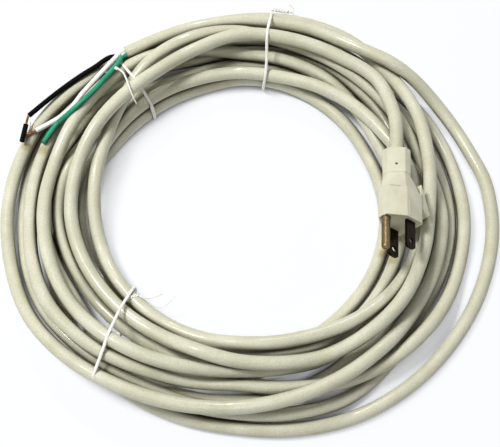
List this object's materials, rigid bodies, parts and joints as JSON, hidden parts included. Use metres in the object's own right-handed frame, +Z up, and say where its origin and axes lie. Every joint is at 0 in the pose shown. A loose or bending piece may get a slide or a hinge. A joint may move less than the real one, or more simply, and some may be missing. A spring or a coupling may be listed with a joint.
{
  "type": "power cord",
  "caption": "Power cord wound in a loose tied coil, with a moulded grounding plug at one end and stripped wires at the other.",
  "frame": {"origin": "on the surface that the coil lies on, under the middle of the whole object's box", "axes": "+Z up from that surface, +X across the coil toward the plug's side, +Y from the plug's blades toward its cord"},
  "size_m": [0.2881, 0.259, 0.0485],
  "materials": {
    "jacket": "satin PVC cord jacket",
    "plug": "moulded PVC, satin",
    "carrier": "moulded hard plastic",
    "insulation_black": "PVC wire insulation",
    "insulation_white": "PVC wire insulation",
    "insulation_green": "PVC wire insulation",
    "copper": "bare stranded copper",
    "blade_brass": "brass, plain",
    "crimp_tin": "tinned crimp",
    "tie": "thin white plastic tie"
  },
  "bodies": {
    "root": {"cord_coil": "jacket", "cord_to_plug": "jacket", "cord_to_cut_end": "jacket", "wire_black": "insulation_black", "wire_white": "insulation_white", "wire_green": "insulation_green", "copper_white": "copper", "copper_black": "copper", "copper_green": "copper", "loose_insulation": "insulation_black", "plug_housing": "plug", "plug_core": "carrier", "blade_line": "blade_brass", "blade_neutral": "blade_brass", "ground_pin": "blade_brass", "crimp_line": "crimp_tin", "crimp_neutral": "crimp_tin", "crimp_ground": "crimp_tin", "inner_black": "insulation_black", "inner_white": "insulation_white", "inner_green": "insulation_green", "tie_top": "tie", "tie_upper_left": "tie", "tie_lower_left": "tie"}
  },
  "joints": []
}
